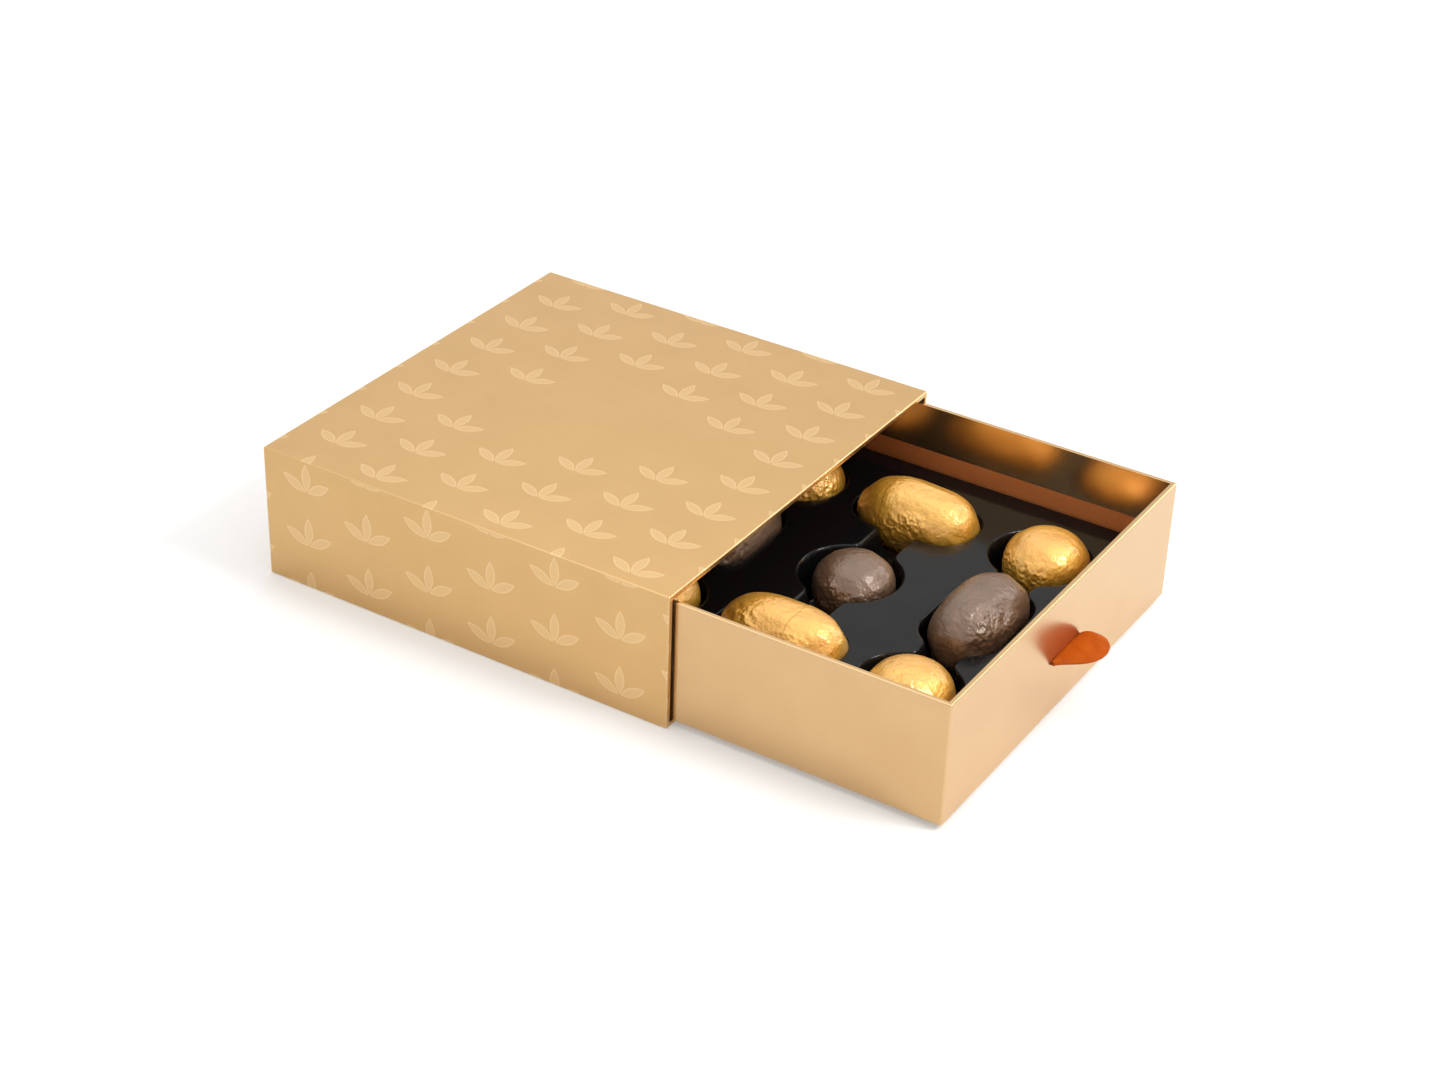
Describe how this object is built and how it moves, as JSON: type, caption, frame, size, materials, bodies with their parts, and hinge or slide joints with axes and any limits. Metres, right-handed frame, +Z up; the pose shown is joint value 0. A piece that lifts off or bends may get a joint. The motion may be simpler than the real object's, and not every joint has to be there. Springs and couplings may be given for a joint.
{
  "type": "chocolate box",
  "caption": "Paper-covered slipcase box with a ribbon-pull drawer, a formed tray and foil-wrapped chocolates in pockets.",
  "frame": {"origin": "middle of the sleeve's underside, on the table", "axes": "+X is the way the drawer slides out, +Z is up, -Y is the near side in the picture"},
  "size_m": [0.2458, 0.15, 0.045],
  "materials": {
    "greyboard": "matte",
    "patterned_gold_paper": "satin",
    "plain_gold_paper": "satin",
    "lining_paper": "matte",
    "satin_ribbon": "satin",
    "tape": "matte",
    "formed_tray": "gloss",
    "gold_foil": "satin",
    "brown_foil": "satin",
    "chocolate": "satin"
  },
  "bodies": {
    "sleeve": {"sleeve_base_board": "greyboard", "sleeve_top_board": "greyboard", "sleeve_near_board": "greyboard", "sleeve_far_board": "greyboard", "sleeve_back_board": "greyboard", "sleeve_base_sheet": "plain_gold_paper", "sleeve_wrap": "patterned_gold_paper", "sleeve_lining": "lining_paper"},
    "drawer": {"drawer_base_board": "greyboard", "drawer_near_board": "greyboard", "drawer_far_board": "greyboard", "drawer_front_board": "greyboard", "drawer_rear_board": "greyboard", "drawer_base_sheet": "plain_gold_paper", "drawer_wrap": "plain_gold_paper", "drawer_lining": "lining_paper", "ribbon_pull": "satin_ribbon", "ribbon_patch": "tape", "insert_tray": "formed_tray"},
    "piece_1a": {"foil_1a": "gold_foil", "chocolate_1a": "chocolate"},
    "piece_1b": {"foil_1b": "brown_foil", "chocolate_1b": "chocolate"},
    "piece_1c": {"foil_1c": "gold_foil", "chocolate_1c": "chocolate"},
    "piece_2a": {"foil_2a": "gold_foil", "chocolate_2a": "chocolate"},
    "piece_2b": {"foil_2b": "brown_foil", "chocolate_2b": "chocolate"},
    "piece_2c": {"foil_2c": "gold_foil", "chocolate_2c": "chocolate"},
    "piece_3a": {"foil_3a": "gold_foil", "chocolate_3a": "chocolate"},
    "piece_3b": {"foil_3b": "brown_foil", "chocolate_3b": "chocolate"},
    "piece_3c": {"foil_3c": "gold_foil", "chocolate_3c": "chocolate"}
  },
  "joints": [
    {"name": "drawer_slide", "type": "slide", "parent": "sleeve", "child": "drawer", "axis": [1, 0, 0], "range_m": [-0.0885, 0.062]},
    {"name": "lift_1a", "type": "slide", "parent": "drawer", "child": "piece_1a", "axis": [0, 0, 1], "range_m": [0, 0.04]},
    {"name": "lift_1b", "type": "slide", "parent": "drawer", "child": "piece_1b", "axis": [0, 0, 1], "range_m": [0, 0.04]},
    {"name": "lift_1c", "type": "slide", "parent": "drawer", "child": "piece_1c", "axis": [0, 0, 1], "range_m": [0, 0.04]},
    {"name": "lift_2a", "type": "slide", "parent": "drawer", "child": "piece_2a", "axis": [0, 0, 1], "range_m": [0, 0.011]},
    {"name": "lift_2b", "type": "slide", "parent": "drawer", "child": "piece_2b", "axis": [0, 0, 1], "range_m": [0, 0.04]},
    {"name": "lift_2c", "type": "slide", "parent": "drawer", "child": "piece_2c", "axis": [0, 0, 1], "range_m": [0, 0.011]},
    {"name": "lift_3a", "type": "slide", "parent": "drawer", "child": "piece_3a", "axis": [0, 0, 1], "range_m": [0, 0.011]},
    {"name": "lift_3b", "type": "slide", "parent": "drawer", "child": "piece_3b", "axis": [0, 0, 1], "range_m": [0, 0.011]},
    {"name": "lift_3c", "type": "slide", "parent": "drawer", "child": "piece_3c", "axis": [0, 0, 1], "range_m": [0, 0.011]}
  ]
}
